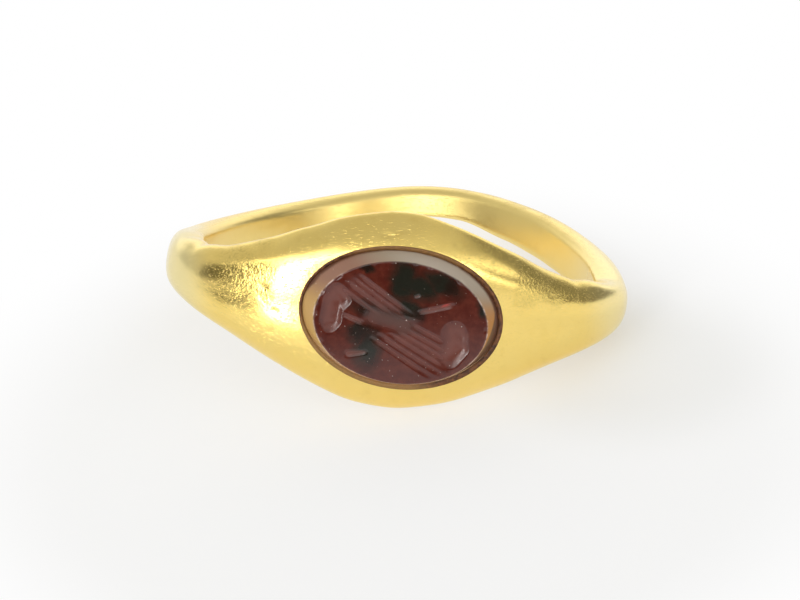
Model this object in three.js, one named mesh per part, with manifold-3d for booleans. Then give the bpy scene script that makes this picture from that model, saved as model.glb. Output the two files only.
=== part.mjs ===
// A gold finger ring with an engraved oval stone, lying on its side as it comes to rest.
// Millimetres. The ring is drawn with its finger hole along Z and its bezel facing -Y.
// The finished ring is then laid down on the plane z = 0, with the bezel still facing -Y.

import * as THREE from 'three';
import { ConvexHull } from 'three/addons/math/ConvexHull.js';
import { mergeVertices } from 'three/addons/utils/BufferGeometryUtils.js';
import Module from 'manifold-3d';

// Finger hole, seen along the finger: half an ellipse at the back, flatter towards the bezel
const holeWidth = 19.5;
const holeBackDepth = 12.6;
const holeFrontDepth = 4.0;
const frontPower = 2.15;

// Gold across the hoop, measured away from the finger
const backThickness = 1.5;
const sideThickness = 1.85;
const bezelThickness = 2.35;

// Gold along the finger
const backWidth = 1.7;
const sideWidth = 2.3;
const bezelWidth = 10.0;
const bezelOffset = -0.17;
const crownRounding = 2.2;
const taperPower = 0.86;

// The worn hoop is bent out of its plane: one side of the back rises, the other sinks, and a low
// hump stands beside the middle of the back
const hoopBend = 1.9;
const bendRounding = 2.0;
const humpRise = 0.27;
const humpAngle = THREE.MathUtils.degToRad(13);
const humpSpread = THREE.MathUtils.degToRad(22);

// Cross-sections, as [share of the thickness, share of the half width] from the finger outwards
const hoopSectionShares = [[0, 0], [0.07, 0.82], [0.5, 1], [0.9, 0.7], [1, 0]];
const shoulderSectionShares = [[0, 0], [0.05, 0.84], [0.38, 1], [0.88, 0.62], [1, 0]];
const shoulderBlendShare = 0.25;
const sectionTension = 0.5;
const stationCount = 96;
const stepsPerSectionPoint = 3;

// Engraved stone: widest at its girdle just under the gold rim, bevelled up to a flat table
const tableLength = 8.4;
const tableWidth = 6.1;
const stoneLength = 9.7;
const stoneWidth = 6.9;
const stoneBackInset = 0.25;
const tableHeight = 0.8;
const girdleDepth = 0.15;
const stoneDepth = 1.05;
const ovalSides = 64;

// Seat of the stone, sunk under the crest of the bezel, with the bed of dark cement around it
const seatDrop = 0.5;
const seatRise = 0.1;
const seatTurn = THREE.MathUtils.degToRad(-2.3);
const bedThickness = 0.12;
const bedFloorThickness = 0.16;
const bedTopDepth = 0.06;
const fitGap = 0.03;
const cutOverrun = 1.5;

// Engraving of a winged thunderbolt. Each wheel cut is given by the two ends of its groove, as
// shares of the table's half length and half width.
const flameCutBreadth = 0.3;
const flameCutDepth = 0.16;
const wingCutBreadth = 0.85;
const wingCutDepth = 0.26;
const quillCutBreadth = 0.22;
const quillCutDepth = 0.13;
const flameEndShares = [
  [[-0.58, 0.7], [-0.17, 0.43]],
  [[-0.68, 0.62], [-0.26, 0.3]],
  [[-0.76, 0.5], [-0.34, 0.17]],
  [[-0.13, -0.42], [0.42, -0.77]],
  [[0.04, -0.2], [0.54, -0.54]],
  [[0.2, -0.08], [0.6, -0.34]],
];
const wingEndShares = [
  [[-0.8, 0.28], [-0.66, 0.26]],
  [[-0.84, -0.05], [-0.72, -0.16]],
  [[0.56, -0.02], [0.72, -0.08]],
  [[0.6, -0.32], [0.7, -0.4]],
];
const quillEndShares = [
  [[-0.68, -0.02], [-0.14, 0.1]],
  [[-0.08, 0.04], [0.56, 0]],
  [[0.14, 0.37], [0.57, 0.49]],
  [[-0.6, -0.58], [-0.23, -0.44]],
  [[-0.26, 0.02], [0.04, 0.26]],
];
const wheelSides = 14;
const wheelRings = 8;

const wasm = await Module();
wasm.setup();

// Closed geometry to solid and back

function toSolid(geometry) {
  const bare = geometry.clone();
  bare.deleteAttribute('normal');
  bare.deleteAttribute('uv');
  const merged = mergeVertices(bare);
  const vertProperties = Float32Array.from(merged.attributes.position.array);
  const triVerts = Uint32Array.from(merged.index.array);
  return new wasm.Manifold(new wasm.Mesh({ numProp: 3, vertProperties, triVerts }));
}

function toGeometry(solid) {
  const { vertProperties, triVerts } = solid.getMesh();
  const geometry = new THREE.BufferGeometry();
  geometry.setAttribute('position', new THREE.BufferAttribute(vertProperties, 3));
  geometry.setIndex(new THREE.BufferAttribute(triVerts, 1));
  geometry.computeVertexNormals();
  return geometry;
}

// Skin over a stack of rings with equal numbers of points. An endless stack joins its last ring
// to its first, and any other is closed by a fan at each end.

function skin(rings, endless) {
  const sides = rings[0].length;
  const points = rings.flat();
  const index = [];
  const stepCount = endless ? rings.length : rings.length - 1;
  for (let ring = 0; ring < stepCount; ring += 1) {
    const here = ring * sides;
    const next = ((ring + 1) % rings.length) * sides;
    for (let side = 0; side < sides; side += 1) {
      const turn = (side + 1) % sides;
      index.push(here + side, here + turn, next + turn);
      index.push(here + side, next + turn, next + side);
    }
  }
  if (!endless) {
    const last = (rings.length - 1) * sides;
    for (let side = 1; side < sides - 1; side += 1) {
      index.push(0, side + 1, side);
      index.push(last, last + side, last + side + 1);
    }
  }
  const geometry = new THREE.BufferGeometry().setFromPoints(points);
  geometry.setIndex(index);
  geometry.computeVertexNormals();
  return geometry;
}

// Gold ring: one closed skin over cross-sections that follow the finger hole

const holeHalfWidth = holeWidth / 2;

// Share of the bezel's extra width that is left at a share of the way from its crest to the side
function crownShare(fromCrest) {
  const fall = Math.hypot(fromCrest * holeHalfWidth, crownRounding) - crownRounding;
  const wholeFall = Math.hypot(holeHalfWidth, crownRounding) - crownRounding;
  return Math.max(1 - fall / wholeFall, 0) ** taperPower;
}

// Where the hoop stands at an angle from the back: its place on the finger hole, the direction
// away from the finger, its thickness, its width, how far the bend lifts it, and how far its
// section has changed from the hoop's to the shoulder's.
function station(angle) {
  const across = Math.sin(angle);
  const along = Math.cos(angle);
  const isBack = along >= 0;
  const power = isBack ? 2 : frontPower;
  const depth = isBack ? holeBackDepth : holeFrontDepth;
  const xShare = Math.sign(across) * Math.abs(across) ** (2 / power);
  const yShare = Math.sign(along) * Math.abs(along) ** (2 / power);
  const outward = new THREE.Vector2(
    Math.sign(xShare) * Math.abs(xShare) ** (power - 1) / holeHalfWidth,
    Math.sign(yShare) * Math.abs(yShare) ** (power - 1) / depth,
  ).normalize();
  const x = xShare * holeHalfWidth;
  const y = yShare * depth;
  const reach = x < bezelOffset ? holeHalfWidth + bezelOffset : holeHalfWidth - bezelOffset;
  const fromCrest = Math.abs(x - bezelOffset) / reach;
  const towardsBack = isBack ? THREE.MathUtils.smoothstep(along, 0, 1) : 0;
  const towardsBezel = isBack ? 0 : THREE.MathUtils.smoothstep(1 - fromCrest, 0, 1);
  const crown = isBack ? 0 : crownShare(fromCrest);
  const pastSides = (y + Math.hypot(y, bendRounding)) / 2;
  const fromHump = (Math.atan2(across, along) - humpAngle) / humpSpread;
  return {
    x,
    y,
    outward,
    thickness: sideThickness
      + (backThickness - sideThickness) * towardsBack
      + (bezelThickness - sideThickness) * towardsBezel,
    width: sideWidth
      + (backWidth - sideWidth) * towardsBack
      + (bezelWidth - sideWidth) * crown,
    lift: hoopBend * xShare * pastSides / holeBackDepth + humpRise * Math.exp(-fromHump * fromHump),
    shoulder: isBack ? 0 : THREE.MathUtils.smoothstep(1 - fromCrest, 0, shoulderBlendShare),
  };
}

function sectionCurve(shoulder) {
  const upper = hoopSectionShares.map(([out, up], step) => {
    const [shoulderOut, shoulderUp] = shoulderSectionShares[step];
    return new THREE.Vector3(
      THREE.MathUtils.lerp(out, shoulderOut, shoulder),
      THREE.MathUtils.lerp(up, shoulderUp, shoulder),
      0,
    );
  });
  const lower = upper.slice(1, -1).reverse().map(({ x, y }) => new THREE.Vector3(x, -y, 0));
  return new THREE.CatmullRomCurve3([...upper, ...lower], true, 'catmullrom', sectionTension);
}

function hoopGeometry() {
  const rings = [];
  for (let step = 0; step < stationCount; step += 1) {
    const place = station(-2 * Math.PI * step / stationCount);
    const curve = sectionCurve(place.shoulder);
    const stepCount = curve.points.length * stepsPerSectionPoint;
    const ring = [];
    for (let part = 0; part < stepCount; part += 1) {
      const share = curve.getPoint(part / stepCount);
      const out = share.x * place.thickness;
      ring.push(new THREE.Vector3(
        place.x + place.outward.x * out,
        place.y + place.outward.y * out,
        place.lift + share.y * place.width / 2,
      ));
    }
    rings.push(ring);
  }
  return skin(rings, true);
}

// Oval pieces of the setting, drawn with the table facing +Z and z = 0 at the gold rim

function ovalStack(levels) {
  const rings = levels.map(([z, length, width]) => {
    const ring = [];
    for (let side = 0; side < ovalSides; side += 1) {
      const angle = 2 * Math.PI * side / ovalSides;
      const x = length / 2 * Math.cos(angle);
      const y = width / 2 * Math.sin(angle);
      ring.push(new THREE.Vector3(x, y, z));
    }
    return ring;
  });
  return skin(rings, false);
}

// The stone's own shape, grown on every side by a gap
function stoneStack(gap) {
  const back = gap - stoneBackInset;
  return ovalStack([
    [-stoneDepth - gap, stoneLength + 2 * back, stoneWidth + 2 * back],
    [-girdleDepth, stoneLength + 2 * gap, stoneWidth + 2 * gap],
    [tableHeight, tableLength + 2 * gap, tableWidth + 2 * gap],
  ]);
}

// The pocket that holds the stone and its bed, drawn in by an inset and open up to a height
function pocketStack(inset, top) {
  const grow = fitGap + bedThickness + fitGap - inset;
  const back = grow - stoneBackInset;
  const floor = -stoneDepth - fitGap - bedFloorThickness - fitGap + inset;
  return ovalStack([
    [floor, stoneLength + 2 * back, stoneWidth + 2 * back],
    [-girdleDepth, stoneLength + 2 * grow, stoneWidth + 2 * grow],
    [top, stoneLength + 2 * grow, stoneWidth + 2 * grow],
  ]);
}

// A groove as a wheel leaves it: a stretched ball along the line between its two ends
function wheelCut([[x1, y1], [x2, y2]], breadth, depth) {
  const start = new THREE.Vector3(x1 * tableLength / 2, y1 * tableWidth / 2, tableHeight);
  const end = new THREE.Vector3(x2 * tableLength / 2, y2 * tableWidth / 2, tableHeight);
  const run = end.clone().sub(start);
  const cut = new THREE.SphereGeometry(1, wheelSides, wheelRings);
  cut.rotateX(Math.PI / 2);
  cut.scale(run.length() / 2 + breadth / 2, breadth / 2, depth);
  cut.rotateZ(Math.atan2(run.y, run.x));
  cut.translate((start.x + end.x) / 2, (start.y + end.y) / 2, tableHeight);
  return toSolid(cut);
}

function stoneGeometry() {
  let stone = toSolid(stoneStack(0));
  for (const ends of flameEndShares) {
    stone = stone.subtract(wheelCut(ends, flameCutBreadth, flameCutDepth));
  }
  for (const ends of wingEndShares) {
    stone = stone.subtract(wheelCut(ends, wingCutBreadth, wingCutDepth));
  }
  for (const ends of quillEndShares) {
    stone = stone.subtract(wheelCut(ends, quillCutBreadth, quillCutDepth));
  }
  return toGeometry(stone);
}

function cementGeometry() {
  const bed = toSolid(pocketStack(fitGap, -bedTopDepth));
  return toGeometry(bed.subtract(toSolid(stoneStack(fitGap))));
}

// Materials

const gold = new THREE.MeshStandardMaterial({ color: 0xe3bf4f, roughness: 0.3, metalness: 1 });
const cement = new THREE.MeshStandardMaterial({ color: 0x3a1a10, roughness: 0.7, metalness: 0 });
const stone = new THREE.MeshStandardMaterial({ color: 0x5a1d18, roughness: 0.15, metalness: 0 });

// Assembly

const seat = new THREE.Group();
seat.rotation.set(Math.PI / 2, 0, 0);
seat.rotateZ(seatTurn);
seat.position.set(0, -holeFrontDepth - bezelThickness + seatDrop, seatRise);
seat.updateMatrix();

const hoopSkin = hoopGeometry();
const pocket = pocketStack(0, cutOverrun).applyMatrix4(seat.matrix);
const hoopMesh = new THREE.Mesh(toGeometry(toSolid(hoopSkin).subtract(toSolid(pocket))), gold);
hoopMesh.name = 'ring_hoop';

const cementMesh = new THREE.Mesh(cementGeometry(), cement);
cementMesh.name = 'setting_cement';

const stoneMesh = new THREE.Mesh(stoneGeometry(), stone);
stoneMesh.name = 'intaglio_stone';

seat.add(cementMesh, stoneMesh);
const ring = new THREE.Group();
ring.add(hoopMesh, seat);

// Resting place: the ring lies on the side where its centre of mass is lowest

function corners(geometry) {
  const { position } = geometry.attributes;
  const corner = (at) => new THREE.Vector3().fromBufferAttribute(position, at);
  return Array.from({ length: position.count }, (_, at) => corner(at));
}

function centreOfMass(geometry) {
  const points = corners(geometry);
  const index = geometry.index.array;
  const moment = new THREE.Vector3();
  let volume = 0;
  for (let at = 0; at < index.length; at += 3) {
    const [a, b, c] = [points[index[at]], points[index[at + 1]], points[index[at + 2]]];
    const wedge = a.dot(new THREE.Vector3().crossVectors(b, c));
    const middle = new THREE.Vector3().add(a).add(b).add(c).divideScalar(4);
    moment.addScaledVector(middle, wedge);
    volume += wedge;
  }
  return moment.divideScalar(volume);
}

function restingFace(geometry) {
  const centre = centreOfMass(geometry);
  const height = (face) => -face.distanceToPoint(centre);
  const isBelow = ({ normal }) => -normal.z > Math.abs(normal.y);
  const { faces } = new ConvexHull().setFromPoints(corners(geometry));
  return faces.filter(isBelow).reduce((best, face) => (height(face) < height(best) ? face : best));
}

const down = new THREE.Vector3(0, 0, -1);
ring.quaternion.setFromUnitVectors(restingFace(hoopMesh.geometry).normal, down);
const facing = new THREE.Vector3(0, -1, 0).applyQuaternion(ring.quaternion);
ring.rotateOnWorldAxis(down, Math.PI / 2 + Math.atan2(facing.y, facing.x));
ring.updateMatrixWorld(true);

const extent = new THREE.Box3().setFromObject(ring, true);
const middle = extent.getCenter(new THREE.Vector3());
ring.position.set(-middle.x, -middle.y, -extent.min.z);

const part = new THREE.Group();
part.add(ring);

export default part;
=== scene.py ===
import math

import bmesh
import bpy
from mathutils import Matrix, Vector, noise


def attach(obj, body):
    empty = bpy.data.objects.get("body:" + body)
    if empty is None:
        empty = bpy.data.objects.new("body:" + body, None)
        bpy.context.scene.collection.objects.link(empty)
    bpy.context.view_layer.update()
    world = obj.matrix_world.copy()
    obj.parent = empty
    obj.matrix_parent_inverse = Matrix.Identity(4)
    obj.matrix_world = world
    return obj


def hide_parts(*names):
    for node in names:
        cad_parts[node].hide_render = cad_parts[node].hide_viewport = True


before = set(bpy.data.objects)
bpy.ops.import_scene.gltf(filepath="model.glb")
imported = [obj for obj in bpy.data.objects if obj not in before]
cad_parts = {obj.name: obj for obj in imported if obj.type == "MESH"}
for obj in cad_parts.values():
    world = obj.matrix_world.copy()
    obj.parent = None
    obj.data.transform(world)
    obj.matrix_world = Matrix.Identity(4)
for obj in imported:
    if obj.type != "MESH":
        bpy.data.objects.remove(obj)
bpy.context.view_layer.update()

# Gold ring. A heavy finger ring of high-carat gold, forged from one bar: thin and rounded at the
# back, swelling through the shoulders to an oval bezel. Long wear has bent the hoop, softened its
# edges and left it finely pitted. It lies on its side on the table.

hole_half_width = 9.75
hole_back_depth = 12.6
hole_front_depth = 4.0
front_power = 2.15
back_thickness = 1.5
side_thickness = 1.85
bezel_thickness = 2.35
back_width = 1.7
side_width = 2.3
bezel_width = 10.0
bezel_offset = -0.17
crown_rounding = 2.2
taper_power = 0.86
hoop_bend = 1.9
bend_rounding = 2.0
hump_rise = 0.27
hump_angle = math.radians(13)
hump_spread = math.radians(22)
hoop_lean = 0.16
shoulder_blend = 0.25
right_end_start = 8.3
right_end_reach = 0.15
left_end_start = 8.8
left_end_inset = 0.1

# Upper half of the cross-section, from the finger hole outwards, for the hoop and the shoulders:
# share of the thickness and share of the half width
hoop_section = [
    (0, 0), (0.004, 0.45), (0.022, 0.8), (0.2, 0.975), (0.55, 1), (0.78, 0.9), (0.92, 0.66),
    (0.985, 0.34), (1, 0),
]
shoulder_section = [
    (0, 0), (0.009, 0.44), (0.07, 0.8), (0.218, 0.97), (0.42, 1), (0.687, 0.889), (0.92, 0.67),
    (0.996, 0.356), (1, 0),
]

# Hammered and bent, the rim that faces up as the ring lies, and the foot under it, leave the even
# shape a little: rises in millimetres at places across the finger hole
rim_rises = [
    (-hole_half_width, 0.42), (-9.2, 0.12), (-8.2, -0.06), (-6.6, -0.04), (-5.0, 0.1),
    (-3.2, 0.24), (-1.4, 0.2), (0.0, 0.17), (2.0, 0.09), (5.0, 0.02), (6.8, -0.1), (8.0, -0.06),
    (9.0, 0.22), (hole_half_width, 0.25),
]
foot_rises = [
    (-2.5, 0.0), (-0.5, 0.12), (1.0, 0.1), (3.0, 0.02), (5.0, 0.08), (7.0, 0.18),
    (hole_half_width, 0.2),
]
hoop_foot_rises = [
    (-hole_half_width, 0.0), (-8.0, -0.2), (-6.5, -0.25), (-5.0, -0.15), (-3.0, 0.0), (0.5, 0.1),
    (2.4, 0.22), (4.0, 0.2), (6.2, -0.14), (7.4, -0.2), (8.2, -0.18), (9.2, 0.0),
    (hole_half_width, 0.2),
]
rim_fade = 0.45

# The ring as it is drawn, finger hole upright, is laid down by this. All is in millimetres.
lying_shift = (0, -3.3056, 3.8098)
lying_pitch = math.radians(-13.6806)
lying_roll = math.radians(11.2926)
lying = (
    Matrix.Translation(lying_shift)
    @ Matrix.Rotation(lying_pitch, 4, "X")
    @ Matrix.Rotation(lying_roll, 4, "Y")
)
to_metres = Matrix.Scale(0.001, 4)


def ease(value, low=0.0, high=1.0):
    """Share of the way from low to high, from 0 to 1, with soft ends."""
    share = min(max((value - low) / (high - low), 0.0), 1.0)
    return share * share * (3 - 2 * share)


def signed_power(value, power):
    return math.copysign(abs(value) ** power, value)


def blend(first, last, share):
    """Point a share of the way from the first point to the last."""
    return tuple(a + (b - a) * share for a, b in zip(first, last))


def between_marks(marks, at):
    """Value at a place between marks, each a place and a value, eased from mark to mark."""
    at = min(max(at, marks[0][0]), marks[-1][0])
    for (low, first), (high, second) in zip(marks, marks[1:]):
        if at <= high:
            return first + (second - first) * ease(at, low, high)


def crown_share(from_crest):
    """Share of the bezel's extra width, from 1 at its crest to 0 at the side of the ring."""
    fall = math.hypot(from_crest * hole_half_width, crown_rounding) - crown_rounding
    whole = math.hypot(hole_half_width, crown_rounding) - crown_rounding
    return max(1 - fall / whole, 0) ** taper_power


def section_place(turn, shoulder):
    """Point of the cross-section: share of the thickness, and share of the half width."""
    upper = [blend(hoop, bezel, shoulder) for hoop, bezel in zip(hoop_section, shoulder_section)]
    marks = upper + [(out, -up) for out, up in upper[-2:0:-1]]
    at = turn * len(marks)
    step = int(at)
    share = at - step
    p0, p1, p2, p3 = (Vector(marks[(step + k) % len(marks)]) for k in (-1, 0, 1, 2))
    # A smooth curve runs through the marks
    return (
        p1
        + (p2 - p0) * (0.5 * share)
        + (p0 * 2 - p1 * 5 + p2 * 4 - p3) * (0.5 * share ** 2)
        + (p3 - p0 + (p1 - p2) * 3) * (0.5 * share ** 3)
    )


def hoop_place(angle, turn):
    """Point of the ring's skin, by the angle from the back and the turn round the section."""
    across, along = math.sin(angle), math.cos(angle)
    at_back = along >= 0
    power = 2 if at_back else front_power
    depth = hole_back_depth if at_back else hole_front_depth
    x_share = signed_power(across, 2 / power)
    y_share = signed_power(along, 2 / power)
    outward = Vector((
        signed_power(x_share, power - 1) / hole_half_width,
        signed_power(y_share, power - 1) / depth,
    )).normalized()
    x, y = x_share * hole_half_width, y_share * depth
    reach = hole_half_width + bezel_offset * (1 if x < bezel_offset else -1)
    from_crest = abs(x - bezel_offset) / reach
    towards_back = ease(along) if at_back else 0
    towards_bezel = 0 if at_back else ease(1 - from_crest)
    crown = 0 if at_back else crown_share(from_crest)
    thickness = (
        side_thickness
        + (back_thickness - side_thickness) * towards_back
        + (bezel_thickness - side_thickness) * towards_bezel
    )
    width = (
        side_width
        + (back_width - side_width) * towards_back
        + (bezel_width - side_width) * crown
    )
    past_sides = (y + math.hypot(y, bend_rounding)) / 2
    from_hump = (math.atan2(across, along) - hump_angle) / hump_spread
    lift = (
        hoop_bend * x_share * past_sides / hole_back_depth
        + hump_rise * math.exp(-from_hump ** 2)
    )
    shoulder = 0 if at_back else ease(1 - from_crest, 0, shoulder_blend)
    out, up = section_place(turn, shoulder)
    out += hoop_lean * towards_back * up * (1 - out)
    if up > 0 and at_back:
        side = math.copysign(hole_half_width, x)
        rise = between_marks(rim_rises, side) * (1 - ease(along, 0, rim_fade))
    elif up > 0:
        rise = between_marks(rim_rises, x)
    else:
        rise = between_marks(hoop_foot_rises if at_back else foot_rises, x)
    # The right end is drawn out, most of all at its upper edge, and the left end drawn in
    ends = (
        right_end_reach * ease(x, right_end_start, hole_half_width) * min(0.7 + up / 2, 1)
        + left_end_inset * ease(-x, left_end_start, hole_half_width)
    )
    return Vector((
        x + outward.x * out * thickness + ends,
        y + outward.y * out * thickness,
        lift + up * width / 2 + rise * abs(up),
    ))


def new_piece(name, bm):
    """Object at the origin from a bmesh, its faces turned outwards."""
    bmesh.ops.recalc_face_normals(bm, faces=bm.faces)
    mesh = bpy.data.meshes.new(name)
    bm.to_mesh(mesh)
    bm.free()
    piece = bpy.data.objects.new(name, mesh)
    bpy.context.scene.collection.objects.link(piece)
    return piece


def apply_modifiers(piece):
    bpy.context.view_layer.update()
    shown = piece.evaluated_get(bpy.context.evaluated_depsgraph_get())
    mesh = bpy.data.meshes.new_from_object(shown)
    piece.modifiers.clear()
    piece.data = mesh


def lay_down(bm, drawn=Matrix.Identity(4)):
    """Shades a drawn shape smooth and brings it to its lying place, in metres."""
    for face in bm.faces:
        face.smooth = True
    bmesh.ops.transform(bm, matrix=to_metres @ lying @ drawn, verts=bm.verts)


def oval_level(half_size, gap, height):
    return half_size[0] + gap, half_size[1] + gap, height


def oval_body(levels, sides):
    """Closed oval body, one ring of points for each (half length, half width, height)."""
    bm = bmesh.new()
    bmesh.ops.create_circle(bm, segments=sides, radius=1)
    half_length, half_width, height = levels[0]
    bmesh.ops.scale(bm, vec=(half_length, half_width, 1), verts=bm.verts)
    bmesh.ops.translate(bm, vec=(0, 0, height), verts=bm.verts)
    edges = bm.edges[:]
    bmesh.ops.contextual_create(bm, geom=edges)
    for before, level in zip(levels, levels[1:]):
        made = bmesh.ops.extrude_edge_only(bm, edges=edges)["geom"]
        ring = [v for v in made if isinstance(v, bmesh.types.BMVert)]
        new_points = set(ring)
        edges = [e for e in made if isinstance(e, bmesh.types.BMEdge) and set(e.verts) <= new_points]
        bmesh.ops.scale(bm, vec=(level[0] / before[0], level[1] / before[1], 1), verts=ring)
        bmesh.ops.translate(bm, vec=(0, 0, level[2] - before[2]), verts=ring)
    bmesh.ops.contextual_create(bm, geom=edges)
    return bm


# A round cross-section is spun round the finger hole, and each point then moved to its place
hoop_steps = 384
section_points = 96
spin_radius = 2
bm = bmesh.new()
bmesh.ops.create_circle(
    bm, segments=section_points, radius=1,
    matrix=Matrix.Translation((spin_radius, 0, 0)) @ Matrix.Rotation(math.pi / 2, 4, "X"),
)
bmesh.ops.spin(
    bm, geom=bm.verts[:] + bm.edges[:], cent=(0, 0, 0), axis=(0, 0, 1),
    angle=2 * math.pi, steps=hoop_steps, use_merge=True,
)
for v in bm.verts:
    angle = math.atan2(v.co.x, v.co.y)
    inwards = spin_radius - math.hypot(v.co.x, v.co.y)
    v.co = hoop_place(angle, math.atan2(v.co.z, inwards) / (2 * math.pi) % 1)
gold_ring = new_piece("gold_ring", bm)

skin = gold_ring.modifiers.new("even_skin", "REMESH")
skin.mode = "VOXEL"
skin.voxel_size = 0.095
worn = gold_ring.modifiers.new("worn_edges", "SMOOTH")
worn.factor = 0.5
worn.iterations = 10
apply_modifiers(gold_ring)

# Wear in the metal itself: broad unevenness, small dents and nicks, all inwards from the first
# surface, with less of the broad wear on the polished front
sweep_depth = 0.02
dent_depth = 0.014
nick_depth = 0.012
front_polish = 0.75
front_face = (2.0, 4.5)
# Places of dings on the front, across and up as the ring is drawn, with half length, half height
# and depth
dings = [
    (-1.2, 4.2, 0.50, 0.20, 0.030), (-0.4, 4.5, 0.30, 0.14, 0.020), (-6.9, 0.7, 0.35, 0.22, 0.025),
    (-6.2, -0.4, 0.30, 0.16, 0.020), (-7.6, 1.4, 0.45, 0.16, 0.020), (6.6, 2.3, 0.40, 0.15, 0.020),
    (7.4, 1.7, 0.30, 0.12, 0.025), (6.0, -1.6, 0.50, 0.22, 0.015), (-4.9, -2.2, 0.40, 0.18, 0.015),
]


def waviness(place, scale):
    """Smooth unevenness from 0 to 1."""
    return noise.noise(place * scale) * 0.5 + 0.5


def peaks(place, scale, start, level):
    """Scattered spots, where the noise from a start rises past a level."""
    return max(noise.noise(place * scale + Vector(start)) - level, 0)


bm = bmesh.new()
bm.from_mesh(gold_ring.data)
bm.normal_update()
for v in bm.verts:
    place = v.co.copy()
    on_face = ease(-place.y, *front_face)
    broad = sweep_depth * waviness(place, 0.42) + dent_depth * peaks(place, 1.35, (7, 3, 1), 0.3)
    nicks = nick_depth * peaks(place, 3.1, (1, 9, 4), 0.34)
    v.co -= v.normal * (broad * (1 - front_polish * on_face) + nicks)
    if on_face > 0:
        for x, z, half_x, half_z, depth in dings:
            near = 1 - ((place.x - x) / half_x) ** 2 - ((place.z - z) / half_z) ** 2
            if near > 0:
                v.co -= v.normal * (depth * near ** 2 * on_face)
bm.to_mesh(gold_ring.data)
bm.free()

# Seat of the stone: its pocket is cut into the bezel from the front, a little out of true, and
# last of all, so that its edge stays crisp against the stone
seat_middle = (0, -5.85, 0.1)
seat_turn = math.radians(-2.3)
seat_shift = (-0.08, 0.095, 0)
seat = (
    Matrix.Translation(seat_middle)
    @ Matrix.Rotation(math.radians(90), 4, "X")
    @ Matrix.Rotation(seat_turn, 4, "Z")
    @ Matrix.Translation(seat_shift)
)
girdle_half = (4.85, 3.45)
girdle_height = -0.15
back_inset = 0.25
back_half = (girdle_half[0] - back_inset, girdle_half[1] - back_inset)
pocket_gap = 0.2
pocket_shift = (0.04, -0.05)
pocket_floor = -1.27
pocket_top = 1.5
pocket_sides = 256

pocket = new_piece("pocket", oval_body([
    oval_level(back_half, pocket_gap, pocket_floor),
    oval_level(girdle_half, pocket_gap, girdle_height),
    oval_level(girdle_half, pocket_gap, pocket_top),
], pocket_sides))
pocket.data.transform(seat @ Matrix.Translation((*pocket_shift, 0)))
cut = gold_ring.modifiers.new("seat", "BOOLEAN")
cut.operation = "DIFFERENCE"
cut.object = pocket
cut.solver = "EXACT"
apply_modifiers(gold_ring)
bpy.data.objects.remove(pocket)


def stretch(value, start, full, fading, end):
    """1 between two marks, eased down to 0 before and after them."""
    return ease(value, start, full) * ease(-value, -end, -fading)


# Coarse pitting lies along the ridges that run from both shoulders to the bezel, and in two places on
# the hoop; the gold is painted darker in its deepest pits, as painted shade. The hoop's inner wall is
# marked too, for a lighter gold there, which is painted light.
crisp_angle = math.radians(38)
hoop_left_share = 0.8
bm = bmesh.new()
bm.from_mesh(gold_ring.data)
pitted = bm.verts.layers.float.new("pitted")
inner = bm.verts.layers.float.new("inner_wall")
for v in bm.verts:
    x, y, z = v.co
    left = stretch(x, -9.6, -8.6, -7.2, -6.2) * ease(z, -1.6, 0.2)
    right = stretch(x, 5.0, 6.0, 8.4, 9.6) * ease(z, 0.9, 1.5)
    shoulders = ease(-y, 1.0, 3.5) * max(left, right)
    off_middle = math.hypot(x / hole_half_width, y / hole_back_depth)
    near_hole = ease(-off_middle, -1.08, -1.03)
    hoop_left = hoop_left_share * stretch(x, -8.6, -7.4, -6.2, -4.8) * near_hole
    hoop_right = stretch(x, 2.0, 4.5, 8.0, 9.3) * ease(off_middle, 1.01, 1.05)
    hoop_rim = ease(y, 2.0, 5.0) * ease(z, 0.0, 0.5)
    worn_place = max(shoulders, hoop_rim * max(hoop_right, hoop_left))
    v[pitted] = worn_place * ease(noise.noise(v.co * 0.9) + 0.25, -0.1, 0.35)
    v[inner] = ease(y, 0.0, 3.0) * near_hole
for edge in bm.edges:
    edge.smooth = edge.calc_face_angle(0) < crisp_angle
lay_down(bm)
bm.to_mesh(gold_ring.data)
bm.free()


class Finish:
    """The nodes of one material, or of the light of the room."""

    def __init__(self, owner):
        owner.use_nodes = True
        self.owner = owner
        self.tree = owner.node_tree
        self.tree.nodes.clear()

    def node(self, kind, settings=None, sockets=None, output=0):
        """Adds a node: its settings first, then the values or links of its sockets."""
        made = self.tree.nodes.new(kind)
        for name, value in (settings or {}).items():
            setattr(made, name, value)
        for name, value in (sockets or {}).items():
            if isinstance(value, Value):
                self.tree.links.new(value.socket, made.inputs[name])
            else:
                made.inputs[name].default_value = value
        return Value(self, made.outputs[output]) if made.outputs else None


class Value:
    """A number, colour or vector that varies over a surface."""

    def __init__(self, finish, socket):
        self.finish = finish
        self.socket = socket

    def maths(self, operation, first, second):
        return self.finish.node("ShaderNodeMath", {"operation": operation}, {0: first, 1: second})

    def __add__(self, other):
        return self.maths("ADD", self, other)

    def __sub__(self, other):
        return self.maths("SUBTRACT", self, other)

    def __rsub__(self, other):
        return self.maths("SUBTRACT", other, self)

    def __mul__(self, other):
        return self.maths("MULTIPLY", self, other)

    def __pow__(self, other):
        return self.maths("POWER", self, other)

    __radd__ = __add__
    __rmul__ = __mul__


def millimetres(finish):
    """Place on the piece in millimetres."""
    place = finish.node("ShaderNodeTexCoord", output="Object")
    return finish.node("ShaderNodeMapping", sockets={"Vector": place, "Scale": (1000, 1000, 1000)})


def along(finish, vector, axis):
    return finish.node("ShaderNodeSeparateXYZ", sockets={0: vector}, output=axis)


def layer(finish, name):
    """Value that was stored on the points of the mesh."""
    return finish.node("ShaderNodeAttribute", {"attribute_name": name}, output="Fac")


def grain(finish, place, scale, detail, roughness, output="Fac"):
    return finish.node("ShaderNodeTexNoise", sockets={
        "Vector": place, "Scale": scale, "Detail": detail, "Roughness": roughness,
    }, output=output)


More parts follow.
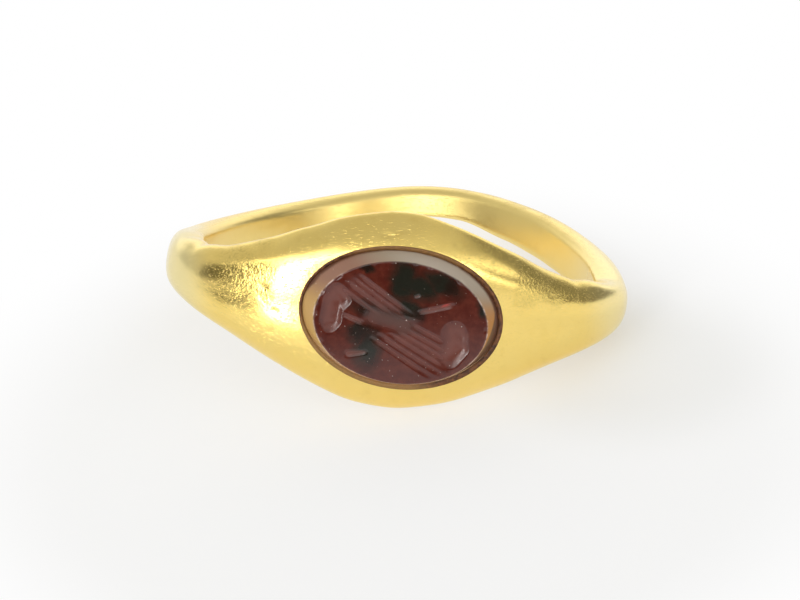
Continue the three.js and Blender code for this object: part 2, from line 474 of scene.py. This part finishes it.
def between(finish, value, low, high):
    """Share of the way from low to high, eased, from 0 to 1."""
    return finish.node("ShaderNodeMapRange", {"interpolation_type": "SMOOTHSTEP"}, {
        "Value": value, "From Min": low, "From Max": high,
    })


def tinted(finish, mask, under, over):
    """Colour under, turned to colour over where the mask is 1."""
    return finish.node("ShaderNodeMix", {"data_type": "RGBA"}, {0: mask, 6: under, 7: over}, output=2)


deep_gold = (0.93, 0.68, 0.19, 1)
light_gold = (0.95, 0.72, 0.24, 1)
patina_gold = (0.82, 0.57, 0.14, 1)
inner_wall_painted_light_gold = (0.98, 0.79, 0.33, 1)
end_sheen_gold = (0.93, 0.79, 0.40, 1)
left_end_shade_gold = (0.76, 0.66, 0.34, 1)
pit_shade_gold = (0.62, 0.47, 0.13, 1)

gold = Finish(bpy.data.materials.new("worn_gold"))
place = millimetres(gold)
clouds = grain(gold, place, 0.55, 3, 0.55)
patina = between(gold, grain(gold, place, 1.7, 5, 0.65), 0.52, 0.75)
worn_zone = layer(gold, "pitted")
inner_wall = layer(gold, "inner_wall")
pits = grain(gold, place, 7.5, 2, 0.6)
fine = grain(gold, place, 7, 3, 0.6)
stretched = gold.node("ShaderNodeMapping", sockets={
    "Vector": place, "Scale": (1.2, 9, 14), "Rotation": (0.2, 0.1, 0.35),
})
scratches = between(gold, grain(gold, stretched, 1.6, 3, 0.7), 0.58, 0.7)
rightward = along(gold, place, "X")
both_ends = between(gold, rightward * rightward, 75, 118)
left_end = between(gold, rightward, -9.2, -11.0)
# Share of painted shade in the deepest pits
pit_shade = 0.25 + between(gold, pits, 0.5, 0.62) * 0.3

colour = tinted(gold, clouds, deep_gold, light_gold)
colour = tinted(gold, patina * 0.35, colour, patina_gold)
# Painted light: the hoop's inner wall is tinted a lighter gold
colour = tinted(gold, inner_wall * 0.5, colour, inner_wall_painted_light_gold)
# Painted sheen: both ends of the ring are tinted a paler gold
colour = tinted(gold, both_ends * 0.8, colour, end_sheen_gold)
# Painted shade: the left end is tinted a duller gold over that sheen
colour = tinted(gold, left_end * 0.6, colour, left_end_shade_gold)
# Painted shade: the worn places are tinted darker in their deepest pits
colour = tinted(gold, worn_zone * pit_shade, colour, pit_shade_gold)
rough = 0.155 + clouds * 0.07 + scratches * 0.05 + worn_zone * 0.04 + inner_wall * 0.14
relief = fine * 0.14 + clouds * 0.1 - scratches * 0.26 - pits * (0.15 + worn_zone * 1.3)
bump = gold.node("ShaderNodeBump", sockets={"Strength": 0.5, "Distance": 0.00003, "Height": relief})
surface = gold.node("ShaderNodeBsdfPrincipled", sockets={
    "Base Color": colour, "Metallic": 1.0, "Roughness": rough, "Normal": bump,
})
gold.node("ShaderNodeOutputMaterial", sockets={"Surface": surface})

gold_ring.data.materials.append(gold.owner)
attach(gold_ring, "root")
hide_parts("ring_hoop")

# Setting cement. A dark resinous paste that was laid warm in the pocket and holds the stone. It
# shows as a narrow, uneven dark line between the stone's girdle and the gold.

contact_gap = 0.03
cement_gap = 0.01
stone_floor = -1.05
paste_rim = 0.1
table_half = (4.3, 3.12)
table_shift = (-0.02, -0.14)
table_height = 0.8
bevel_height = table_height - girdle_height
bm = oval_body([
    oval_level(back_half, pocket_gap, pocket_floor + contact_gap),
    oval_level(girdle_half, pocket_gap, girdle_height),
    oval_level(girdle_half, pocket_gap, girdle_height + paste_rim),
    oval_level(girdle_half, cement_gap, girdle_height + paste_rim),
    oval_level(girdle_half, cement_gap, girdle_height),
    oval_level(back_half, cement_gap, stone_floor - contact_gap),
], pocket_sides)

# The gold stands higher above and below the stone than beside it, and the paste climbs with it:
# on the outside up the pocket's wall, on the inside up the stone's bevel
climb_beside = 0.04
climb_above = 0.22
climb_below = 0.36
climb_loss = 0.03
outside_share = 1.02
for v in bm.verts:
    x, y, z = v.co
    outside = x ** 2 / girdle_half[0] ** 2 + y ** 2 / girdle_half[1] ** 2 > outside_share
    if z > girdle_height + paste_rim / 2:
        most = climb_below if y < 0 else climb_above
        climb = climb_beside + most * (y / girdle_half[1]) ** 2
        climb -= climb_loss * waviness(v.co, 2.2)
        v.co.z = girdle_height + climb
        if not outside:
            share = climb / bevel_height
            v.co.x += (table_half[0] / girdle_half[0] - 1) * x * share + table_shift[0] * share
            v.co.y += (table_half[1] / girdle_half[1] - 1) * y * share + table_shift[1] * share
    if outside:
        v.co += Vector((*pocket_shift, 0))
lay_down(bm, seat)
cement_bed = new_piece("cement_bed", bm)


def seat_place(finish, place):
    """Place as seen in the seat: to the right, up, and out of the bezel."""
    from_seat = (lying @ seat).inverted()
    return finish.node("ShaderNodeMapping", sockets={
        "Vector": place, "Location": from_seat.to_translation(), "Rotation": from_seat.to_euler(),
    })


def vector_maths(finish, operation, *values, output="Vector"):
    settings = {"operation": operation}
    return finish.node("ShaderNodeVectorMath", settings, dict(enumerate(values)), output)


dark_paste = (0.05, 0.015, 0.005, 1)
brown_paste = (0.19, 0.07, 0.022, 1)
thin_paste_gold_reflection = (0.86, 0.58, 0.33, 1)
lower_left_gold_reflection = (0.42, 0.24, 0.07, 1)
upper_gold_reflection = (0.34, 0.18, 0.05, 1)

resin = Finish(bpy.data.materials.new("dark_resin"))
place = millimetres(resin)
on_seat = seat_place(resin, place)
rightward = along(resin, on_seat, "X")
upward = along(resin, on_seat, "Y")
lumps = grain(resin, place, 4, 4, 0.6)
colour = tinted(resin, between(resin, lumps, 0.35, 0.65), dark_paste, brown_paste)
# It feathers out thinly on to the stone's bevel along the lower edge, and there it is painted a pale
# gold, a painted reflection of the gold wall.
per_girdle_half = (1 / girdle_half[0], 1 / girdle_half[1], 0)
off_middle = vector_maths(resin, "MULTIPLY", on_seat, per_girdle_half)
off_middle = vector_maths(resin, "LENGTH", off_middle, output="Value")
feathered = between(resin, off_middle + (lumps - 0.5) * 0.02, 1.005, 0.985)
thin = feathered * between(resin, upward, 0.2, -1.0)
colour = tinted(resin, thin * 0.95, colour, thin_paste_gold_reflection)
# Painted reflection of the gold wall: a lighter amber at the lower left
lower_left = between(resin, upward * -1 - rightward * 0.6, 1.5, 3.0)
lower_left = lower_left * between(resin, upward, -0.3, -1.5)
colour = tinted(resin, (1 - thin) * lower_left * 0.55, colour, lower_left_gold_reflection)
# Painted reflection of the gold wall: a lighter brown along the top
colour = tinted(resin, between(resin, upward, 2.2, 3.4) * 0.5, colour, upper_gold_reflection)
bump = resin.node("ShaderNodeBump", sockets={"Strength": 0.5, "Distance": 0.00004, "Height": lumps})
surface = resin.node("ShaderNodeBsdfPrincipled", sockets={
    "Base Color": colour, "Roughness": 0.45 + lumps * 0.3, "Normal": bump,
})
resin.node("ShaderNodeOutputMaterial", sockets={"Surface": surface})

cement_bed.data.materials.append(resin.owner)
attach(cement_bed, "root")
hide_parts("setting_cement")

# Intaglio stone. A dark red chalcedony with black-green patches, cut to an oval with a bevelled
# edge and a flat polished table. A winged thunderbolt was sunk into the table with small drills
# and wheels fed with grit, which leaves smooth round-bottomed hollows.

stone_sides = 384
bevel_steps = 10
bevel_share = 0.93
table_rings = 110
# The table's edge is rounded: insets from it, and drops below the table there
edge_round = [(0.0, 0.03), (0.02, 0.012), (0.045, 0.003), (0.08, 0.0)]

girdle = oval_level(girdle_half, 0, girdle_height)
levels = [oval_level(back_half, 0, stone_floor), girdle]
for step in range(1, bevel_steps + 1):
    share = step / bevel_steps * bevel_share
    levels.append(blend(girdle, (*table_half, table_height), share))
for inset, drop in edge_round:
    levels.append(oval_level(table_half, -inset, table_height - drop))
flat_length, flat_width = levels[-1][:2]
for step in range(1, table_rings + 1):
    share = 1 - step / (table_rings + 1)
    levels.append((flat_length * share, flat_width * share, table_height))

# Each cut runs between two places on the table, in millimetres, and has two half breadths and a
# depth. The half breadths are those at both ends of a rib or small cut, and those to the left and
# right of a wing. Ribs fan from the grip in the middle, and wings fold back at both ends.
rib_cuts = [
    ((-2.95, 1.72), (0.30, 0.25), 0.66, 0.50, 0.020),
    ((-2.45, 2.12), (0.50, 0.48), 0.17, 0.15, 0.030),
    ((-2.68, 1.92), (0.10, 0.36), 0.12, 0.12, 0.026),
    ((-2.95, 1.70), (-0.30, 0.26), 0.16, 0.14, 0.030),
    ((-3.25, 1.40), (-0.80, 0.06), 0.17, 0.15, 0.030),
    ((-0.30, -0.50), (2.85, -1.75), 0.75, 0.80, 0.020),
    ((-1.30, -0.95), (1.95, -2.55), 0.13, 0.16, 0.026),
    ((-0.95, -0.74), (2.40, -2.32), 0.15, 0.17, 0.030),
    ((-0.50, -0.58), (2.80, -2.08), 0.15, 0.16, 0.030),
    ((-0.15, -0.42), (3.00, -1.75), 0.15, 0.17, 0.028),
    ((0.20, -0.25), (2.95, -1.35), 0.16, 0.18, 0.030),
    ((0.55, -0.02), (2.60, -0.80), 0.17, 0.20, 0.028),
]
small_cuts = [
    ((-2.90, 0.02), (-1.75, -0.30), 0.12, 0.18, 0.035),
    ((-1.80, 0.22), (0.90, -0.25), 0.66, 0.55, 0.034),
    ((0.78, 0.66), (2.50, 1.30), 0.15, 0.15, 0.045),
    ((-2.42, -1.97), (-1.36, -1.70), 0.21, 0.12, 0.055),
    ((0.46, 1.40), (0.72, 1.54), 0.06, 0.10, 0.04),
]
wing_cuts = [
    ((-3.14, 0.92), (-2.92, 0.74), 0.82, 0.38, 0.13),
    ((-3.20, 0.60), (-3.20, -0.40), 0.80, 0.34, 0.14),
    ((3.00, -0.30), (3.14, -0.90), 1.00, 0.44, 0.13),
    ((3.14, -0.90), (2.96, -1.22), 1.00, 0.44, 0.13),
]
rib_roundness = 1.7
wing_roundness = 1.5


def beside_cut(x, y, cut):
    """Share of the way along a cut, the same kept from 0 to 1, and the way across to a place."""
    (x1, y1), (x2, y2) = cut[:2]
    run_x, run_y = x2 - x1, y2 - y1
    share = ((x - x1) * run_x + (y - y1) * run_y) / (run_x ** 2 + run_y ** 2)
    kept = min(max(share, 0), 1)
    return share, kept, x - x1 - run_x * kept, y - y1 - run_y * kept


def rib_depth(x, y, cut):
    """A rib's cut is round-bottomed and runs out at both ends, where the wheel was lifted."""
    first, last, depth = cut[2:]
    share, kept, away_x, away_y = beside_cut(x, y, cut)
    inside = 1 - (math.hypot(away_x, away_y) / (first + (last - first) * kept)) ** 2
    if inside <= 0:
        return 0.0
    starting = ease(share, -0.05, 0.16)
    ending = ease(1 - share, -0.05, 0.3)
    return depth * inside ** rib_roundness * starting * ending


def wing_depth(x, y, cut):
    """A wing's cut is gentle on its left and steep on its right, where the wheel leaned."""
    left, right, depth = cut[2:]
    _, _, away_x, away_y = beside_cut(x, y, cut)
    away = math.hypot(away_x, away_y)
    half = left + (right - left) * ease(away_x, -0.9 * away - 0.001, 0.9 * away + 0.001)
    inside = 1 - (away / half) ** 2
    return depth * inside ** wing_roundness if inside > 0 else 0.0


# The engraving stays clear of the table's edge, which is chipped a little
engraved_share = 0.985
chip_start = 0.955
chip_reach = 0.25
chip_depth = 0.12
bm = oval_body(levels, stone_sides)
engraved = bm.verts.layers.float.new("engraved")
deep = bm.verts.layers.float.new("deep")
bevel = bm.verts.layers.float.new("bevel")
slope = bm.verts.layers.float.new("slope")
for v in bm.verts:
    x, y, z = v.co
    share = math.hypot(x / table_half[0], y / table_half[1])
    v[bevel] = ease(table_height - z, 0.0, 0.06)
    v[slope] = min(max((z - girdle_height) / bevel_height, 0), 1)
    if z > table_height - 0.001 and share < engraved_share:
        ribs = sum(rib_depth(x, y, cut) ** 2 for cut in rib_cuts + small_cuts) ** 0.5
        wings = sum(wing_depth(x, y, cut) ** 4 for cut in wing_cuts) ** 0.25
        depth = math.hypot(ribs, wings)
        if depth > 0:
            v.co.z -= depth * (1 + 0.08 * noise.noise(Vector((x * 3, y * 3, 2))))
            v[engraved] = max(ease(ribs, -0.005, 0.045), ease(wings, -0.02, 0.12))
            v[deep] = ease(wings, 0.03, 0.09)
    if z > table_height - chip_reach and share > chip_start:
        chips = max(noise.noise(Vector((x * 2.6, y * 2.6, 5))) - 0.18, 0)
        near_top = ease(z, table_height - chip_reach, table_height - 0.05)
        v.co.z -= chip_depth * chips * (ease(share, chip_start, 0.99) * near_top)
    v.co += Vector(table_shift).to_3d() * v[slope]
lay_down(bm, seat)
intaglio = new_piece("intaglio", bm)

# Dark patches: middle and half size of each in millimetres on the table, and its turn
dark_patches = [
    ((-0.20, 2.00), (0.75, 1.30), 0.1),
    ((0.65, 1.75), (1.10, 0.60), -0.2),
    ((1.70, 2.10), (1.25, 0.60), -0.35),
    ((-0.90, 0.10), (1.70, 0.50), -0.25),
    ((0.35, 0.65), (0.75, 0.55), -0.5),
    ((-1.95, -0.85), (0.80, 0.55), 0.3),
    ((-1.40, -1.60), (0.70, 1.25), 0.1),
    ((-2.10, 2.42), (0.40, 0.24), 0.0),
    ((3.80, 1.13), (0.32, 0.48), 0.3),
]
red_fleck = ((2.0, 1.08, 0.75), (0.27, 0.09, 0.4), 0.5)

deep_red = (0.073, 0.011, 0.006, 1)
light_red = (0.105, 0.020, 0.011, 1)
red_black = (0.016, 0.007, 0.004, 1)
green_black = (0.014, 0.014, 0.009, 1)
cut_red = (0.205, 0.066, 0.048, 1)
fleck_red = (0.32, 0.03, 0.02, 1)
speck_colour = (0.6, 0.5, 0.45, 1)
bevel_left_reflection = (0.58, 0.35, 0.12, 1)
bevel_right_reflection = (0.54, 0.22, 0.04, 1)
bevel_upper_left_reflection = (0.33, 0.17, 0.11, 1)
bevel_upper_right_reflection = (0.42, 0.34, 0.24, 1)
bevel_lower_reflection = (0.66, 0.43, 0.28, 1)
bevel_top_reflection = (0.55, 0.47, 0.38, 1)
girdle_shade = (0.13, 0.05, 0.025, 1)
painted_glint_colour = (0.75, 0.58, 0.50, 1)


def oval_spot(finish, place, middle, half_size, turn):
    """Place as seen from the middle of a turned oval, whose edge is 1 away."""
    return finish.node("ShaderNodeMapping", {"vector_type": "TEXTURE"}, {
        "Vector": place, "Location": middle, "Rotation": (0, 0, turn), "Scale": half_size,
    })


jasper = Finish(bpy.data.materials.new("red_chalcedony"))
on_table = seat_place(jasper, millimetres(jasper))
rightward = along(jasper, on_table, "X")
upward = along(jasper, on_table, "Y")
sunk = layer(jasper, "engraved")
drilled = layer(jasper, "deep")
rim = layer(jasper, "bevel")
rise = layer(jasper, "slope")

# The patches have wandering edges
wander = grain(jasper, on_table, 1.3, 3, 0.5, output="Color")
drift = vector_maths(jasper, "MULTIPLY_ADD", wander, (0.9, 0.9, 0), (-0.45, -0.45, 0))
shifted = vector_maths(jasper, "ADD", on_table, drift)
patches = None
for middle, half_size, turn in dark_patches:
    near = oval_spot(jasper, shifted, (*middle, 0), (*half_size, 1), turn)
    flat = vector_maths(jasper, "MULTIPLY", near, (1, 1, 0))
    inside = between(jasper, vector_maths(jasper, "LENGTH", flat, output="Value"), 1.3, 0.35)
    patches = inside if patches is None else patches.maths("MAXIMUM", patches, inside)

mottle = grain(jasper, on_table, 2.4, 5, 0.65)
cloud = grain(jasper, on_table, 0.7, 3, 0.5)
red = tinted(jasper, between(jasper, mottle, 0.35, 0.7), deep_red, light_red)
dark = tinted(jasper, between(jasper, cloud, 0.4, 0.6), red_black, green_black)
colour = tinted(jasper, patches ** 0.6 * between(jasper, mottle, 0.1, 0.4), red, dark)
colour = tinted(jasper, sunk * 0.4, colour, cut_red)

# The bevel is painted paler than the table, with painted reflections of the gold and of the pale
# room, of another colour on each side, and with painted shade along the girdle
to_upper_left = upward - rightward * 0.2
to_upper_right = upward + rightward * 0.25
to_top = upward * 0.9 + rightward * 0.3
to_lower_right = rightward * 0.8 - upward * 0.6
to_lower_left = upward * -1 - rightward * 0.5
bevel_reflection = tinted(jasper, between(jasper, rightward, 1.5, 4.2), bevel_left_reflection, bevel_right_reflection)
for there, colour_there in (
    (between(jasper, to_upper_left, 1.0, 2.4), bevel_upper_left_reflection),
    (between(jasper, to_upper_right, 1.6, 3.0), bevel_upper_right_reflection),
    (between(jasper, upward, -1.6, -2.8), bevel_lower_reflection),
    (between(jasper, to_top, 2.2, 3.1) * 0.8, bevel_top_reflection),
):
    bevel_reflection = tinted(jasper, there, bevel_reflection, colour_there)
lower_right = between(jasper, to_lower_right, 3.0, 4.2)
lower_left = between(jasper, to_lower_left, 1.0, 2.6)
# Painted shade along the girdle, wider at the lower right and narrower at the lower left
from_girdle = rise + (mottle - 0.5) * 0.15 - lower_right * 0.75 + lower_left * 0.35
bevel_reflection = tinted(jasper, between(jasper, from_girdle, 0.35, 0.15), bevel_reflection, girdle_shade)
colour = tinted(jasper, rim * 0.9, colour, bevel_reflection)

# The table's edge has a painted glint at both ends. One red fleck and a few pale specks lie in the
# stone.
both_ends = between(jasper, rightward * rightward, 8.5, 14)
painted_glint = rim * (1 - rim) * both_ends * between(jasper, mottle, 0.42, 0.6)
colour = tinted(jasper, painted_glint * 3.0, colour, painted_glint_colour)
off_fleck = vector_maths(jasper, "LENGTH", oval_spot(jasper, on_table, *red_fleck), output="Value")
colour = tinted(jasper, between(jasper, off_fleck, 1.2, 0.2), colour, fleck_red)
specks = between(jasper, grain(jasper, on_table, 11, 1, 0.4), 0.77, 0.8)
colour = tinted(jasper, specks, colour, speck_colour)

rough = 0.1 + sunk * (0.32 - drilled * 0.2) + mottle * 0.04 + rim * 0.25
relief = grain(jasper, on_table, 14, 3, 0.6) * (0.15 + sunk)
bump = jasper.node("ShaderNodeBump", sockets={"Strength": 0.25, "Distance": 0.00001, "Height": relief})
surface = jasper.node("ShaderNodeBsdfPrincipled", sockets={
    "Base Color": colour, "Roughness": rough, "Normal": bump, "IOR": 1.54,
})
jasper.node("ShaderNodeOutputMaterial", sockets={"Surface": surface})

intaglio.data.materials.append(jasper.owner)
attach(intaglio, "root")
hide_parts("intaglio_stone")

# Studio table. White paper lies under the ring. To the camera, and as the gold mirrors it, it is
# part plain white and part lit paper, which keeps a faint soft shadow.

floor_half = 1.5
white = (1, 1, 1, 1)
bm = bmesh.new()
bmesh.ops.create_grid(bm, x_segments=1, y_segments=1, size=floor_half)
floor = new_piece("floor", bm)
paper = Finish(bpy.data.materials.new("white_paper"))
on_floor = millimetres(paper)
seen, mirrored, through = (
    paper.node("ShaderNodeLightPath", output=kind)
    for kind in ("Is Camera Ray", "Is Glossy Ray", "Is Transmission Ray")
)
rays = paper.node("ShaderNodeMath", {"operation": "ADD", "use_clamp": True}, {
    0: seen + mirrored, 1: through,
})


def from_spot(middle, start, full):
    """Share of the way from one distance to another from a spot on the floor, in millimetres."""
    away = vector_maths(paper, "DISTANCE", on_floor, middle, output="Value")
    return between(paper, away, start, full)


# The plain white is strongest far from the ring. Nearer the ring more lit paper shows, a little
# darker even out of the shadow: painted shade round the ring. More plain white within the finger hole
# is painted light there, and less in the shadow at the ring's right is a painted shadow.
far = from_spot((0, -12, 0), 16, 26)
painted_light_in_hole = from_spot((1, 2, 0), 9, 5)
painted_shadow_beside = from_spot((12, -7, 0), 9, 3)
plain_share = 0.55 + far * 0.45 + painted_light_in_hole * 0.1 - painted_shadow_beside * 0.3
lit_paper = paper.node("ShaderNodeBsdfDiffuse", sockets={"Color": white})
plain_white = paper.node("ShaderNodeEmission", sockets={"Color": white, "Strength": 1.0})
mixed = paper.node("ShaderNodeMixShader", sockets={0: rays * plain_share, 1: lit_paper, 2: plain_white})
paper.node("ShaderNodeOutputMaterial", sockets={"Surface": mixed})
floor.data.materials.append(paper.owner)

# Studio light. A pale room, brighter behind the ring and darker overhead and at both sides, with
# three soft boxes on its left and three on its right.

sky_colour = (1, 1, 0.98, 1)
sky_strength = 0.71
# Each soft box: azimuth from the front to the right, half width, lower and upper elevation and
# softness, all in degrees, and its strength
soft_boxes = [
    (-33, 3.5, -2, 24, 2, 12),
    (-24, 20, 23, 34, 4, 3.4),
    (-50, 17, 33, 43, 3, 1.9),
    (33, 6, 12, 30, 4, 2.4),
    (48, 10, 4, 15, 3, 1.1),
    (64, 14, 25, 35, 4, 1.4),
]
room = bpy.data.worlds.new("pale_room")
bpy.context.scene.world = room
sky = Finish(room)
direction = sky.node("ShaderNodeTexCoord", output="Generated")
across, depth, height = (along(sky, direction, axis) for axis in "XYZ")


def sine(degrees):
    return math.sin(math.radians(degrees))


def soft_box(azimuth, half_width, low, high, softness):
    """Share of a soft-edged box of light."""
    turn = math.radians(azimuth)
    ahead = across * math.sin(turn) - depth * math.cos(turn)
    aside = across * math.cos(turn) + depth * math.sin(turn)
    outer = sine(half_width + softness) ** 2
    inner = sine(half_width - softness) ** 2
    return (
        between(sky, ahead, 0.0, 0.1) * between(sky, aside * aside, outer, inner)
        * between(sky, height, sine(low - softness), sine(low + softness))
        * between(sky, height, sine(high + softness), sine(high - softness))
    )


not_high = 1 - between(sky, height, 0.55, 0.8)
behind = between(sky, depth, 0.45, 0.75) * (1 - between(sky, height, 0.3, 0.55))
right_side = between(sky, across, 0.55, 0.75) * not_high
left_side = between(sky, across, -0.5, -0.75) * not_high
left_side = left_side * (1 - 0.85 * between(sky, depth, -0.24, -0.08))
overhead = between(sky, height, 0.7, 0.88)
strength = sky_strength + behind * 0.55 - right_side * 0.46 - left_side * 0.57 - overhead * 0.12
for *box, box_strength in soft_boxes:
    strength = strength + soft_box(*box) * box_strength
light = sky.node("ShaderNodeBackground", sockets={"Color": sky_colour, "Strength": strength})
sky.node("ShaderNodeOutputWorld", sockets={"Surface": light})

# Dark card. A small matt card stands before the ring and shows in mirrored light alone. The
# polished stone mirrors it instead of the pale room, and so the stone's red shows.

card_middle = (0.002, -0.06, 0.008)
card_size = (0.034, 0.015)
card_colour = (0.02, 0.02, 0.02, 1)
bm = bmesh.new()
bmesh.ops.create_grid(
    bm, x_segments=1, y_segments=1, size=0.5,
    matrix=Matrix.Translation(card_middle) @ Matrix.Rotation(math.pi / 2, 4, "X")
    @ Matrix.Diagonal((*card_size, 1, 1)),
)
card = new_piece("card", bm)
dull = Finish(bpy.data.materials.new("black_card"))
matt = dull.node("ShaderNodeBsdfDiffuse", sockets={"Color": card_colour})
dull.node("ShaderNodeOutputMaterial", sockets={"Surface": matt})
card.data.materials.append(dull.owner)
card.visible_camera = card.visible_diffuse = card.visible_shadow = False

# Camera. A long lens looks down at the ring from the front, tilted slightly as in the photograph.
# Its distance is in metres, and its shift in pixels of the photograph.

azimuth, elevation, roll = (math.radians(degrees) for degrees in (-2.165, 31.579, -3.565))
camera_distance = 0.27
picture_width = 800
picture_shift = (5.702, 14.396)
back = Vector((
    math.sin(azimuth) * math.cos(elevation),
    -math.cos(azimuth) * math.cos(elevation),
    math.sin(elevation),
))
right = Vector((0, 0, 1)).cross(back).normalized()
up = back.cross(right)
rolled_right = right * math.cos(roll) + up * math.sin(roll)
rolled_up = up * math.cos(roll) - right * math.sin(roll)
turned = Matrix((rolled_right, rolled_up, back)).transposed().to_4x4()
lens = bpy.data.cameras.new("camera")
lens.sensor_width = 36
lens.lens = 238.4
lens.shift_x = picture_shift[0] / picture_width
lens.shift_y = picture_shift[1] / picture_width
lens.clip_start = 0.01
lens.clip_end = 10
camera = bpy.data.objects.new("camera", lens)
camera.matrix_world = Matrix.Translation(back * camera_distance) @ turned
bpy.context.scene.collection.objects.link(camera)
bpy.context.scene.camera = camera

bpy.context.scene.view_settings.view_transform = "Standard"
